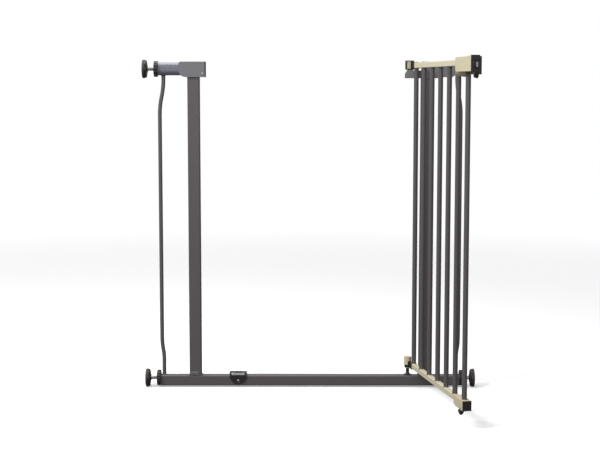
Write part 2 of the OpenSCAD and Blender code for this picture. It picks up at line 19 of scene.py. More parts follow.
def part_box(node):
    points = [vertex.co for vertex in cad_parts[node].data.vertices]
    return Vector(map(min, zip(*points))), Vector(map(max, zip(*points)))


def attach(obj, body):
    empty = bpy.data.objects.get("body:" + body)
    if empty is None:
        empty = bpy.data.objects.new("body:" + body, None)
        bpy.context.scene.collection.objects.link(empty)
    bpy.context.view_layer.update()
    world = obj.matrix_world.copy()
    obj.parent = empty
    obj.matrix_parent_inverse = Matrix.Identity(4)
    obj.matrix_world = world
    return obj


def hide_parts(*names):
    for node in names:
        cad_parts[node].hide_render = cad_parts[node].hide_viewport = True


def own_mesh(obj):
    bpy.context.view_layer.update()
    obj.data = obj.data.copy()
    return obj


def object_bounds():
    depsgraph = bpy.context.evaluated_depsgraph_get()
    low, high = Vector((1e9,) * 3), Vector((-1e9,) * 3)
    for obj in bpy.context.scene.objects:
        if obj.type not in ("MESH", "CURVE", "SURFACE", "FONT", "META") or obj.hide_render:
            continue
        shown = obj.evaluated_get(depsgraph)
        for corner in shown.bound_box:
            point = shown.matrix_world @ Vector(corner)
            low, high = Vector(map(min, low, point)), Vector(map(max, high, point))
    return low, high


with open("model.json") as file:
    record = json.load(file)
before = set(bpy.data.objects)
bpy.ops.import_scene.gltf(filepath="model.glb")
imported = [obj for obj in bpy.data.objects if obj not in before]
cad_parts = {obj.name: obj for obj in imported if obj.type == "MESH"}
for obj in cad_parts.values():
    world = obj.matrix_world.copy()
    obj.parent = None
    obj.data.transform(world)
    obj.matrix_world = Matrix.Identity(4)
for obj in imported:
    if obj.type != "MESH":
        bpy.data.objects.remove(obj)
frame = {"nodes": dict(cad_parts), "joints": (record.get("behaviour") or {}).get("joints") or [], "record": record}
cad_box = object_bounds()

MM = 0.001
MERGE = 0.000002
FLAT_ANGLE = math.radians(0.5)
SHARP_ANGLE = math.radians(28)
SMOOTH_ANGLE = math.radians(38)
# Attribute on rounded edges, which the finishes lighten as scuffing and as a painted edge highlight.
WORN_AND_HIGHLIT_ATTRIBUTE = "worn_and_highlit_edge"
DOME_STEPS = 8
BODY_OF = {
    node: body
    for body, nodes in frame["record"]["behaviour"]["bodies"].items()
    for node in nodes
}
SLOT_OF = {part["node"]: part["material_slot"] for part in frame["record"]["subparts"]}
WHITE = (1.0, 1.0, 1.0, 1.0)
Feed = float | tuple[float, ...] | bpy.types.NodeSocket
log = logging.getLogger("gate")


# ---- shared effects ---------------------------------------------------------------------------


class Graph:
    """A node tree that is built one node at a time."""

    def __init__(self, tree: bpy.types.NodeTree) -> None:
        """Keeps the tree.

        Args:
            tree: The node tree to build in.
        """
        self.tree = tree

    def add(self, kind: str, inputs: dict | None = None, **settings: object) -> bpy.types.Node:
        """Adds a node.

        Args:
            kind: The node's Blender type.
            inputs: Values or sockets for its inputs, by name or index.
            settings: Properties of the node.

        Returns:
            The new node.
        """
        node = self.tree.nodes.new(kind)
        for key, value in settings.items():
            setattr(node, key, value)
        for key, value in (inputs or {}).items():
            if isinstance(value, bpy.types.NodeSocket):
                self.tree.links.new(value, node.inputs[key])
            else:
                node.inputs[key].default_value = value
        return node

    def math(
        self, operation: str, a: Feed, b: Feed, clamp: bool = False
    ) -> bpy.types.NodeSocket:
        """Adds a Math node on two values or sockets and returns its output."""
        node = self.add("ShaderNodeMath", {0: a, 1: b}, operation=operation, use_clamp=clamp)
        return node.outputs[0]

    def mix(
        self, factor: Feed, a: Feed, b: Feed, blend_type: str = "MIX"
    ) -> bpy.types.NodeSocket:
        """Mixes two colours and returns the result."""
        inputs = {0: factor, 6: a, 7: b}
        return self.add("ShaderNodeMix", inputs, data_type="RGBA", blend_type=blend_type).outputs[2]

    def place(self) -> bpy.types.NodeSocket:
        """Adds the piece's own coordinates and returns them."""
        return self.add("ShaderNodeTexCoord").outputs["Object"]

    def noise(self, place: Feed, scale: Feed, detail: float, rough: float) -> bpy.types.NodeSocket:
        """Adds a Noise Texture node and returns its value."""
        inputs = {"Vector": place, "Scale": scale, "Detail": detail, "Roughness": rough}
        return self.add("ShaderNodeTexNoise", inputs).outputs[0]


def new_group(
    name: str, numbers: dict[str, float], outputs: dict[str, str]
) -> tuple[Graph, bpy.types.Node, bpy.types.Node]:
    """Starts a shader node group.

    Args:
        name: The group's name.
        numbers: Its number inputs and their first values.
        outputs: Its outputs, as name to socket type.

    Returns:
        The graph, its input node and its output node.
    """
    tree = bpy.data.node_groups.new(name, "ShaderNodeTree")
    for label, value in numbers.items():
        socket = tree.interface.new_socket(label, in_out="INPUT", socket_type="NodeSocketFloat")
        socket.default_value = value
    for label, kind in outputs.items():
        tree.interface.new_socket(label, in_out="OUTPUT", socket_type=kind)
    graph = Graph(tree)
    return graph, graph.add("NodeGroupInput"), graph.add("NodeGroupOutput")


class Effects:
    """The effects that several finishes share, each built once."""

    def __init__(self) -> None:
        """Builds the groups."""
        self.grain = self.grain_group()
        self.brushed = self.brushed_group()
        self.drift = self.drift_group()
        # Edge lightening, partly scuffing and partly a painted edge highlight.
        self.wear_and_highlight = self.wear_and_highlight_group()
        self.dust = self.dust_group()

    @staticmethod
    def grain_group() -> bpy.types.NodeTree:
        """A fine all-over surface, from paint skin to moulded texture.

        Returns:
            The group's node tree.
        """
        graph, given, out = new_group(
            "Surface grain",
            {"Scale": 900.0, "Pits": 0.3},
            {"Height": "NodeSocketFloat", "Fleck": "NodeSocketFloat"},
        )
        place = graph.place()
        waves = graph.noise(place, given.outputs["Scale"], 2.0, 0.5)
        pits = graph.add(
            "ShaderNodeTexVoronoi", {"Vector": place, "Scale": given.outputs["Scale"]}
        ).outputs["Distance"]
        deep = graph.math("MULTIPLY", pits, given.outputs["Pits"])
        height = graph.math("ADD", waves, deep)
        graph.tree.links.new(height, out.inputs["Height"])
        graph.tree.links.new(waves, out.inputs["Fleck"])
        return graph.tree

    @staticmethod
    def brushed_group() -> bpy.types.NodeTree:
        """Fine drawn lines in a metal's surface, with the odd longer scratch.

        Returns:
            The group's node tree.
        """
        graph, given, out = new_group(
            "Drawn lines", {"Scale": 260.0, "Stretch": 0.06}, {"Lines": "NodeSocketFloat"}
        )
        along = {0: given.outputs["Stretch"], 1: 1.0, 2: 1.0}
        stretch = graph.add("ShaderNodeCombineXYZ", along).outputs[0]
        drawn = graph.add(
            "ShaderNodeVectorMath", {0: graph.place(), 1: stretch}, operation="MULTIPLY"
        ).outputs[0]
        lines = graph.noise(drawn, given.outputs["Scale"], 4.0, 0.7)
        graph.tree.links.new(lines, out.inputs["Lines"])
        return graph.tree

    @staticmethod
    def drift_group() -> bpy.types.NodeTree:
        """A slow change of tone over a surface, around one.

        Returns:
            The group's node tree.
        """
        graph, given, out = new_group(
            "Tone drift", {"Scale": 9.0, "Amount": 0.06}, {"Tone": "NodeSocketFloat"}
        )
        slow = graph.noise(graph.place(), given.outputs["Scale"], 3.0, 0.55)
        centred = graph.math("SUBTRACT", slow, 0.5)
        swing = graph.math("MULTIPLY", centred, given.outputs["Amount"])
        tone = graph.math("ADD", swing, 1.0)
        graph.tree.links.new(tone, out.inputs["Tone"])
        return graph.tree

    @staticmethod
    def wear_and_highlight_group() -> bpy.types.NodeTree:
        """Where rounded edges show scuffing and a painted edge highlight, broken up so that no edge wears evenly.

        Returns:
            The group's node tree.
        """
        graph, given, out = new_group(
            "Rubbed and highlit edges", {"Scale": 130.0, "Amount": 0.5}, {"Mask": "NodeSocketFloat"}
        )
        edge = graph.add("ShaderNodeAttribute", attribute_name=WORN_AND_HIGHLIT_ATTRIBUTE).outputs["Fac"]
        patches = graph.noise(graph.place(), given.outputs["Scale"], 5.0, 0.65)
        spread = graph.add(
            "ShaderNodeMapRange", {"Value": patches, "From Min": 0.48, "From Max": 0.72}
        ).outputs[0]
        rubbed_and_highlit = graph.math("MULTIPLY", edge, spread)
        mask = graph.math("MULTIPLY", rubbed_and_highlit, given.outputs["Amount"], clamp=True)
        graph.tree.links.new(mask, out.inputs["Mask"])
        return graph.tree

    @staticmethod
    def dust_group() -> bpy.types.NodeTree:
        """A thin film of dust on surfaces that face up.

        Returns:
            The group's node tree.
        """
        graph, given, out = new_group(
            "Settled dust", {"Scale": 60.0, "Amount": 0.1}, {"Mask": "NodeSocketFloat"}
        )
        normal = graph.add("ShaderNodeNewGeometry").outputs["Normal"]
        up = graph.add("ShaderNodeSeparateXYZ", {0: normal}).outputs["Z"]
        facing = graph.add("ShaderNodeMapRange", {"Value": up, "From Min": 0.6}).outputs[0]
        cloud = graph.noise(graph.place(), given.outputs["Scale"], 6.0, 0.7)
        lying = graph.math("MULTIPLY", facing, cloud)
        mask = graph.math("MULTIPLY", lying, given.outputs["Amount"], clamp=True)
        graph.tree.links.new(mask, out.inputs["Mask"])
        return graph.tree


# ---- finishes ---------------------------------------------------------------------------------


class Surface(Enum):
    """How the skin of a finish is made."""

    SPRAYED = "paint laid on as powder and baked"
    MOULDED = "plastic with the fine texture of its mould"
    DRAWN = "bare metal with drawn lines"


def shade(red: int, green: int, blue: int) -> tuple[float, float, float, float]:
    """Turns a colour as a screen shows it, from 0 to 255, into the linear colour of a shader."""
    screen = (channel / 255 for channel in (red, green, blue))
    linear = (c / 12.92 if c < 0.04045 else ((c + 0.055) / 1.055) ** 2.4 for c in screen)
    return (*linear, 1.0)


@dataclass(frozen=True)
class Finish:
    """One finish of the gate, and how its surface looks close up."""

    slot: str
    label: str
    surface: Surface
    color: tuple[float, float, float, float]
    # Colour of rounded edges: partly scuffing, partly a painted edge highlight.
    worn_and_highlit: tuple[float, float, float, float]
    roughness: float
    roughness_spread: float = 0.12
    metallic: float = 0.0
    coat: float = 0.0
    coat_roughness: float = 0.2
    specular: float = 0.5
    grain_scale: float = 900.0
    grain_pits: float = 0.3
    grain_depth: float = 0.05
    grain_height: float = 0.0004
    drift: float = 0.08
    # How strongly rounded edges take that colour, as scuffing and as a painted edge highlight.
    wear_and_highlight: float = 0.4
    dust: float = 0.1
    dust_dulling: float = 0.6
    dust_color: tuple[float, float, float, float] = shade(196, 190, 180)

    def build(self, effects: Effects) -> bpy.types.Material:
        """Makes the material.

        Args:
            effects: The shared node groups.

        Returns:
            The material.
        """
        material = bpy.data.materials.new(self.label)
        material.use_nodes = True
        material.node_tree.nodes.clear()
        graph = Graph(material.node_tree)
        skin, height = self.skin(graph, effects)
        tone = place_group(graph, effects.drift, {"Amount": self.drift}).outputs["Tone"]
        toned = graph.mix(1.0, self.color, tone, "MULTIPLY")
        # Rounded edges turn lighter here, partly scuffing and partly a painted edge highlight.
        wear_and_highlight = place_group(graph, effects.wear_and_highlight, {"Amount": self.wear_and_highlight}).outputs["Mask"]
        dust = place_group(graph, effects.dust, {"Amount": self.dust}).outputs["Mask"]
        rubbed_and_highlit = graph.mix(wear_and_highlight, toned, self.worn_and_highlit)
        color = graph.mix(dust, rubbed_and_highlit, self.dust_color)
        centred = graph.math("SUBTRACT", skin, 0.5)
        uneven = graph.math("MULTIPLY", centred, self.roughness_spread)
        rough = graph.math("ADD", uneven, self.roughness)
        dusty = graph.math("MULTIPLY", dust, self.dust_dulling)
        roughness = graph.math("ADD", rough, dusty, clamp=True)
        bump = graph.add(
            "ShaderNodeBump",
            {"Strength": self.grain_depth, "Distance": self.grain_height, "Height": height},
        )
        shader = graph.add(
            "ShaderNodeBsdfPrincipled",
            {
                "Base Color": color,
                "Roughness": roughness,
                "Metallic": self.metallic,
                "Coat Weight": self.coat,
                "Coat Roughness": self.coat_roughness,
                "Specular IOR Level": self.specular,
                "Normal": bump.outputs["Normal"],
            },
        )
        output = graph.add("ShaderNodeOutputMaterial")
        graph.tree.links.new(shader.outputs[0], output.inputs[0])
        return material

    def skin(
        self, graph: Graph, effects: Effects
    ) -> tuple[bpy.types.NodeSocket, bpy.types.NodeSocket]:
        """Adds the close-up texture.

        Args:
            graph: The material's graph.
            effects: The shared node groups.

        Returns:
            A mask for the roughness, and the height for the bump.
        """
        if self.surface is Surface.DRAWN:
            lines = place_group(graph, effects.brushed, {"Scale": self.grain_scale}).outputs[0]
            return lines, lines
        values = {"Scale": self.grain_scale, "Pits": self.grain_pits}
        grain = place_group(graph, effects.grain, values)
        return grain.outputs["Fleck"], grain.outputs["Height"]


def place_group(graph: Graph, tree: bpy.types.NodeTree, values: dict) -> bpy.types.Node:
    """Adds a group node, then sets its inputs.

    Args:
        graph: The material's graph.
        tree: The shared group.
        values: Values for the group's inputs, by name.

    Returns:
        The group node.
    """
    node = graph.add("ShaderNodeGroup", node_tree=tree)
    for key, value in values.items():
        node.inputs[key].default_value = value
    return node


# Each finish's second colour lightens its rounded edges, partly as scuffing and partly as a painted edge
# highlight.
FINISHES = (
    Finish(
        slot="frame_paint",
        label="charcoal powder coat",
        surface=Surface.SPRAYED,
        color=shade(94, 89, 90),
        worn_and_highlit=shade(120, 117, 116),
        roughness=0.38,
        coat=0.12,
        grain_scale=1400.0,
        grain_depth=0.12,
        wear_and_highlight=0.25,
    ),
    Finish(
        slot="tube_satin",
        label="satin blue-grey enamel",
        surface=Surface.SPRAYED,
        color=shade(124, 124, 136),
        worn_and_highlit=shade(168, 168, 176),
        roughness=0.3,
        metallic=0.35,
        coat=0.3,
        grain_scale=1800.0,
        grain_depth=0.06,
        wear_and_highlight=0.25,
    ),
    Finish(
        slot="housing_plastic",
        label="mid-grey moulded plastic",
        surface=Surface.MOULDED,
        color=shade(120, 119, 124),
        worn_and_highlit=shade(158, 157, 160),
        roughness=0.5,
        grain_scale=2200.0,
        grain_pits=0.7,
        grain_depth=0.2,
        wear_and_highlight=0.3,
    ),
    Finish(
        slot="dark_plastic",
        label="near-black moulded plastic",
        surface=Surface.MOULDED,
        color=shade(44, 40, 38),
        worn_and_highlit=shade(104, 98, 94),
        roughness=0.34,
        grain_scale=2400.0,
        grain_pits=0.5,
        grain_depth=0.12,
        wear_and_highlight=0.35,
        dust=0.06,
    ),
    Finish(
        slot="cream_paint",
        label="cream powder coat",
        surface=Surface.SPRAYED,
        color=shade(222, 214, 186),
        worn_and_highlit=shade(242, 238, 222),
        roughness=0.36,
        coat=0.2,
        grain_scale=1400.0,
        grain_depth=0.1,
        drift=0.05,
        wear_and_highlight=0.3,
    ),
    Finish(
        slot="cream_plastic",
        label="cream moulded plastic",
        surface=Surface.MOULDED,
        color=shade(214, 204, 172),
        worn_and_highlit=shade(243, 237, 219),
        roughness=0.4,
        grain_scale=2200.0,
        grain_pits=0.6,
        grain_depth=0.14,
        drift=0.05,
        wear_and_highlight=0.4,
    ),
    Finish(
        slot="steel",
        label="bright zinc-plated steel",
        surface=Surface.DRAWN,
        color=shade(196, 196, 200),
        worn_and_highlit=shade(232, 232, 234),
        roughness=0.28,
        roughness_spread=0.3,
        metallic=1.0,
        grain_scale=900.0,
        grain_depth=0.1,
        grain_height=0.0001,
        drift=0.12,
        dust=0.03,
    ),
    Finish(
        slot="pad_rubber",
        label="dark rubber",
        surface=Surface.MOULDED,
        color=shade(66, 58, 51),
        worn_and_highlit=shade(112, 104, 95),
        roughness=0.62,
        grain_scale=1600.0,
        grain_pits=0.9,
        grain_depth=0.3,
        wear_and_highlight=0.4,
    ),
)


# ---- shapes -----------------------------------------------------------------------------------


Profile = list[tuple[float, float]]
NO_TURN = Matrix.Identity(4)


def lathe(profile: Profile, steps: int = 64) -> BMesh:
    """Turns a profile into a solid about the z axis.

    Args:
        profile: Points as (radius, height), from one end to the other.
        steps: How many facets go round.

    Returns:
        The closed solid.
    """
    shape = bmesh.new()
    points = [shape.verts.new((radius, 0, height)) for radius, height in profile]
    edges = [shape.edges.new(pair) for pair in zip(points, points[1:])]
    bmesh.ops.spin(
        shape,
        geom=points + edges,
        cent=(0, 0, 0),
        axis=(0, 0, 1),
        angle=math.tau,
        steps=steps,
        use_merge=True,
    )
    return tidied(shape)


def tidied(shape: BMesh) -> BMesh:
    """Merges points that coincide, drops stray ones and turns every face outward.

    Args:
        shape: The solid, changed in place.

    Returns:
        The same solid.
    """
    bmesh.ops.remove_doubles(shape, verts=shape.verts, dist=MERGE)
    bmesh.ops.dissolve_degenerate(shape, dist=MERGE / 4, edges=shape.edges)
    bmesh.ops.delete(shape, geom=[v for v in shape.verts if not v.link_faces], context="VERTS")
    bmesh.ops.recalc_face_normals(shape, faces=shape.faces)
    return shape


def block(low: Vector, high: Vector) -> BMesh:
    """Makes a block between two corners.

    Args:
        low: The corner with the lowest coordinates.
        high: The corner with the highest.

    Returns:
        The solid.
    """
    shape = bmesh.new()
    size = high - low
    stretch = Matrix.Translation((low + high) / 2) @ Matrix.Diagonal((*size, 1))
    bmesh.ops.create_cube(shape, size=1, matrix=stretch)
    return shape


def soften(shape: BMesh, offset: float, segments: int = 3, sharp: float = SHARP_ANGLE) -> BMesh:
    """Rounds a solid's sharp edges and marks them for scuffing and a painted edge highlight.

    Args:
        shape: The solid, changed in place.
        offset: How far the rounding reaches from each edge.
        segments: How many facets round an edge.
        sharp: The smallest angle that counts as sharp.

    Returns:
        The same solid.
    """
    worn_and_highlit = shape.faces.layers.float.get(WORN_AND_HIGHLIT_ATTRIBUTE) or shape.faces.layers.float.new(
        WORN_AND_HIGHLIT_ATTRIBUTE
    )
    edges = [e for e in shape.edges if len(e.link_faces) == 2 and e.calc_face_angle(0) > sharp]
    rounded = bmesh.ops.bevel(
        shape,
        geom=edges,
        offset=offset,
        segments=segments,
        profile=0.5,
        affect="EDGES",
        clamp_overlap=True,
        material=-1,
    )
    for face in rounded["faces"]:
        face[worn_and_highlit] = 1.0
    return shape


def joined(*shapes: BMesh) -> BMesh:
    """Puts several solids into one mesh.

    Args:
        shapes: The solids; all but the first are used up.

    Returns:
        The first solid, which holds them all.
    """
    whole = shapes[0]
    for other in shapes[1:]:
        held = bpy.data.meshes.new("held")
        other.to_mesh(held)
        other.free()
        whole.from_mesh(held)
        bpy.data.meshes.remove(held)
    return whole


def moved(shape: BMesh, place: Matrix) -> BMesh:
    """Moves a solid in its mesh."""
    bmesh.ops.transform(shape, matrix=place, verts=shape.verts)
    return shape


def carved(shape: BMesh, cutter: BMesh) -> BMesh:
    """Cuts one solid from another.

    Args:
        shape: The solid to cut.
        cutter: What is taken away.

    Returns:
        What is left.
    """
    body, tool = (
        bpy.data.objects.new(label, bpy.data.meshes.new(label)) for label in ("body", "tool")
    )
    for thing, mesh in ((body, shape), (tool, cutter)):
        mesh.to_mesh(thing.data)
        mesh.free()
        bpy.context.scene.collection.objects.link(thing)
    cut = body.modifiers.new("cut", "BOOLEAN")
    cut.operation = "DIFFERENCE"
    cut.solver = "EXACT"
    cut.object = tool
    graph = bpy.context.evaluated_depsgraph_get()
    left = bmesh.new()
    left.from_mesh(body.evaluated_get(graph).to_mesh())
    for thing in (body, tool):
        bpy.data.objects.remove(thing)
    return tidied(left)


def tube_along(stations: list[Matrix], radius: float, sides: int = 48) -> BMesh:
    """Carries a round section along a row of places.

    Args:
        stations: Where each section stands, with its z axis along the path.
        radius: The section's radius.
        sides: How many facets go round.

    Returns:
        The closed solid.
    """
    shape = bmesh.new()
    rings = []
    for place in stations:
        ends = place in (stations[0], stations[-1])
        made = bmesh.ops.create_circle(
            shape, segments=sides, radius=radius, cap_ends=ends, matrix=place
        )
        rings.append({e for v in made["verts"] for e in v.link_edges})
    for lower, upper in zip(rings, rings[1:]):
        bmesh.ops.bridge_loops(shape, edges=list(lower | upper))
    return tidied(shape)


def from_cad(node: str) -> BMesh:
    """Copies a CAD node's mesh, with its flat faces whole again.

    Args:
        node: The node's name.

    Returns:
        The copy.
    """
    shape = bmesh.new()
    shape.from_mesh(frame["nodes"][node].data)
    bmesh.ops.remove_doubles(shape, verts=shape.verts, dist=MERGE)
    bmesh.ops.dissolve_limit(
        shape, angle_limit=FLAT_ANGLE, verts=shape.verts, edges=shape.edges
    )
    bmesh.ops.recalc_face_normals(shape, faces=shape.faces)
    return shape


def weld_bead(radius: float, height: float) -> BMesh:
    """A small fillet of weld round the foot of a bar, with its wide end at z = 0.

    Args:
        radius: The bar's radius.
        height: The fillet's height, which is also how far it spreads.

    Returns:
        The closed ring.
    """
    reach = radius + height
    profile = [
        (radius - height / 2, 0),
        (reach, 0),
        (reach - 0.35 * height, 0.25 * height),
        (radius + 0.3 * height, 0.6 * height),
        (radius, 1.1 * height),
        (radius - height / 2, 1.1 * height),
        (radius - height / 2, 0),
    ]
    return lathe(profile, 48)


def screw_head(radius: float, height: float) -> BMesh:
    """A domed head with a cross recess, its underside at z = 0.

    Args:
        radius: The head's radius.
        height: The dome's height.

    Returns:
        The solid.
    """
    dome = [(0, 0), (radius, 0), (radius, 0.25 * height)]
    for step in range(1, DOME_STEPS + 1):
        angle = step / DOME_STEPS * math.pi / 2
        dome.append((radius * math.cos(angle), height * (0.25 + 0.75 * math.sin(angle))))
    half, arm, deep = 0.11 * radius, 0.56 * radius, 0.45 * height
    head = lathe(dome, 40)
    for x, y in ((half, arm), (arm, half)):
        head = carved(head, block(Vector((-x, -y, deep)), Vector((x, y, 2 * height))))
    return head


# ---- places -----------------------------------------------------------------------------------


def joint(name: str) -> dict:
    """Finds a joint of the frame by its name."""
    return next(entry for entry in frame["joints"] if entry["name"] == name)


SWING = joint("door_swing")
OPEN_ANGLE = -math.radians(SWING["range_deg"][0])
HINGE = Vector((SWING["pos_m"][0], SWING["pos_m"][1], 0))
ON_DOOR = Matrix.Translation(HINGE) @ Matrix.Rotation(OPEN_ANGLE, 4, "Z")


def door_box(node: str) -> tuple[Vector, Vector]:
    """Measures a CAD node in the closed door's own directions.

    Args:
        node: The node's name.

    Returns:
        Its lowest and highest corners, about the hinge line.
    """
    back = ON_DOOR.inverted()
    points = [back @ vertex.co for vertex in frame["nodes"][node].data.vertices]
    low = Vector(min(p[axis] for p in points) for axis in range(3))
    high = Vector(max(p[axis] for p in points) for axis in range(3))
    return low, high


def upright(box: tuple[Vector, Vector]) -> Matrix:
    """The door's place of an upright piece whose axis goes through a box's middle."""
    return ON_DOOR @ Matrix.Translation((middle(box).x, middle(box).y, 0))


def middle(box: tuple[Vector, Vector]) -> Vector:
    """The middle of a box."""
    return (box[0] + box[1]) / 2


def outward(side: int, x: float, z: float) -> Matrix:
    """A place on a wall spindle's line whose z axis points to the wall on that side."""
    return Matrix.Translation((x, 0, z)) @ Matrix.Rotation(side * math.pi / 2, 4, "Y")


# ---- pieces -----------------------------------------------------------------------------------


class Workshop:
    """Turns solids into finished pieces that ride on the frame."""

    def __init__(self) -> None:
        """Makes every finish."""
        effects = Effects()
        self.materials = {finish.slot: finish.build(effects) for finish in FINISHES}
        for node, thing in frame["nodes"].items():
            thing.data.materials.clear()
            thing.data.materials.append(self.materials[SLOT_OF[node]])

    def piece(self, shape: BMesh, name: str, *nodes: str, place: Matrix = NO_TURN) -> None:
        """Finishes one piece and puts it in place of CAD nodes.

        Args:
            shape: The solid, which is used up.
            name: The piece's name.
            nodes: The CAD nodes that it stands for or, for an added detail, belongs to.
            place: Where the solid goes.
        """
        self.add(shape, name, BODY_OF[nodes[0]], SLOT_OF[nodes[0]], place)
        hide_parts(*nodes)

    def detail(
        self, shape: BMesh, name: str, node: str, slot: str = "", place: Matrix = NO_TURN
    ) -> None:
        """Adds a detail that moves with a CAD node, in that node's finish or another.

        Args:
            shape: The solid, which is used up.
            name: The piece's name.
            node: The CAD node that it moves with.
            slot: Its material slot, if not the node's own.
            place: Where the solid goes.
        """
        self.add(shape, name, BODY_OF[node], slot or SLOT_OF[node], place)

    def add(self, shape: BMesh, name: str, body: str, slot: str, place: Matrix) -> None:
        """Makes the object, shades it smooth and ties it to its body and slot.

        Args:
            shape: The solid, which is used up.
            name: The piece's name.
            body: The body that it rides on.
            slot: Its material slot.
            place: Where the solid goes.
        """
        moved(shape, place)
        mesh = bpy.data.meshes.new(name)
        shape.to_mesh(mesh)
        shape.free()
        mesh.shade_smooth()
        mesh.set_sharp_from_angle(angle=SMOOTH_ANGLE)
        thing = bpy.data.objects.new(name, mesh)
        bpy.context.scene.collection.objects.link(thing)
        mesh.materials.append(self.materials[slot])
        even = thing.modifiers.new("even shading", "WEIGHTED_NORMAL")
        even.keep_sharp = True
        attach(thing, body)
        log.info("%s: %d faces on %s", name, len(mesh.polygons), body)

    def soften_nodes(self, offset: float, *nodes: str) -> None:
        """Puts a copy with rounded edges in place of each CAD node.

        Args:
            offset: How far the rounding reaches from each edge.
            nodes: The CAD nodes.
        """
        for node in nodes:
            self.piece(soften(from_cad(node), offset), f"{node}_finished", node)


@dataclass
class RailFrame:
    """The fixed frame: the bottom rail, the posts, the tubes and the bowed side bars."""

    edge: float = 0.4 * MM
    bar_radius: float = 4.5 * MM
    top_x: float = 335.5 * MM
    low_x: float = 340 * MM
    out_x: float = 344.5 * MM
    foot_bend: tuple[float, float] = (36 * MM, 88 * MM)
    head_bend: tuple[float, float] = (91.5 * MM, 7.5 * MM)
    bead: float = 1.4 * MM
    arc_steps: int = 10

    def build(self, shop: Workshop) -> None:
        """Makes the frame's pieces.

        Args:
            shop: Where pieces are finished.
        """
        shop.soften_nodes(
            self.edge, "bottom_rail", "left_post", "right_post", "left_top_tube", "right_top_tube"
        )
        shop.soften_nodes(0.25 * MM, "tube_end_plugs", "rail_end_plugs", "post_foot_clips")
        for side, name in ((-1, "left"), (1, "right")):
            self.bow_bar(shop, side, name)
            self.post_bead(shop, name)

    def bow_bar(self, shop: Workshop, side: int, name: str) -> None:
        """Makes a side bar that bows out in two double bends, with a bead at each end.

        Args:
            shop: Where pieces are finished.
            side: -1 for the left bar and 1 for the right one.
            name: The side's name.
        """
        node = f"{name}_bow_bar"
        low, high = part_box(node)
        top_x, low_x, out_x = (side * x for x in (self.top_x, self.low_x, self.out_x))
        path = self.double_bend(low_x, out_x, *(low.z + z for z in self.foot_bend))
        path += self.double_bend(out_x, top_x, *(high.z - z for z in self.head_bend))
        ends = [Matrix.Translation((low_x, 0, low.z)), Matrix.Translation((top_x, 0, high.z))]
        shop.piece(tube_along([ends[0], *path, ends[1]], self.bar_radius), f"{node}_finished", node)
        crown = Matrix.Translation((top_x, 0, high.z - MM)) @ Matrix.Rotation(math.pi, 4, "X")
        beads = [moved(weld_bead(self.bar_radius, self.bead), end) for end in (ends[0], crown)]
        shop.detail(joined(*beads), f"{node}_welds", node)

    def double_bend(self, from_x: float, to_x: float, from_z: float, to_z: float) -> list[Matrix]:
        """Gives the places along two arcs that carry a bar from one upright line to another.

        Args:
            from_x: Where the lower line stands.
            to_x: Where the upper line stands.
            from_z: Where the first arc starts.
            to_z: Where the second arc ends.

        Returns:
            Places from the bottom up, with z along the bar.
        """
        run, shift = to_z - from_z, to_x - from_x
        whole = 2 * math.atan(abs(shift) / run)
        radius = run / 2 / math.sin(whole)
        lean = math.copysign(1, shift)
        first, second = [], []
        for step in range(self.arc_steps + 1):
            angle = whole * step / self.arc_steps
            across, up = lean * radius * (1 - math.cos(angle)), radius * math.sin(angle)
            turn = Matrix.Rotation(lean * angle, 4, "Y")
            first.append(Matrix.Translation((from_x + across, 0, from_z + up)) @ turn)
            second.append(Matrix.Translation((to_x - across, 0, to_z - up)) @ turn)
        return first[:-1] + second[::-1]

    def post_bead(self, shop: Workshop, name: str) -> None:
        """Lays a bead of weld round the foot of a post.

        Args:
            shop: Where pieces are finished.
            name: The post's side.
        """
        node = f"{name}_post"
        low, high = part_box(node)
        reach = Vector((self.bead, self.bead, 0))
        top = Vector((high.x, high.y, low.z + self.bead))
        bead = block(low - reach, top + reach)
        soften(bead, 0.9 * self.bead, 3)
        hollow = Vector((2 * MM, 2 * MM, -MM))
        bead = carved(bead, block(low + hollow, top - hollow))
        shop.detail(bead, f"{node}_weld", node)


@dataclass
class Housings:
    """The latch receiver and the hinge housing, at the tops of the posts."""

    edge: float = 1.6 * MM
    plate_edge: float = 0.4 * MM

    def build(self, shop: Workshop) -> None:
        """Makes both housings and their screws.

        Args:
            shop: Where pieces are finished.
        """
        shop.soften_nodes(
            self.edge, "receiver_front", "receiver_rear", "hinge_housing_front", "hinge_housing_rear"
        )
        shop.soften_nodes(self.plate_edge, "receiver_end_plate")
        heads = screws_from_cad("housing_screws", NO_TURN)
        shop.piece(heads, "housing_screws_finished", "housing_screws")


def screws_from_cad(node: str, place: Matrix) -> BMesh:
    """Makes finished screws where a CAD node has plain ones.

    Args:
        node: The node that holds the plain screws, each with its length across the gate.
        place: The directions that the screws follow.

    Returns:
        All the screws in one mesh.
    """
    plain = from_cad(node)
    moved(plain, place.inverted())
    screws = []
    for points in loose_parts(plain):
        low = Vector(min(p[axis] for p in points) for axis in range(3))
        high = Vector(max(p[axis] for p in points) for axis in range(3))
        centre, radius = (low + high) / 2, (high.x - low.x) / 2
        wide = [p.y for p in points if abs(p.x - centre.x) > 0.9 * radius]
        front = abs(min(wide) - low.y) < abs(high.y - max(wide))
        shank = 0.5 * radius
        length = high.y - low.y
        head = screw_head(radius, max(wide) - min(wide))
        stem = lathe([(0, -length * 0.9), (shank, -length * 0.9), (shank, 0), (0, 0)], 24)
        whole = joined(head, stem)
        face = min(wide) if not front else max(wide)
        turn = Matrix.Rotation(math.pi / 2 if front else -math.pi / 2, 4, "X")
        screws.append(moved(whole, Matrix.Translation((centre.x, face, centre.z)) @ turn))
    plain.free()
    return moved(joined(*screws), place)


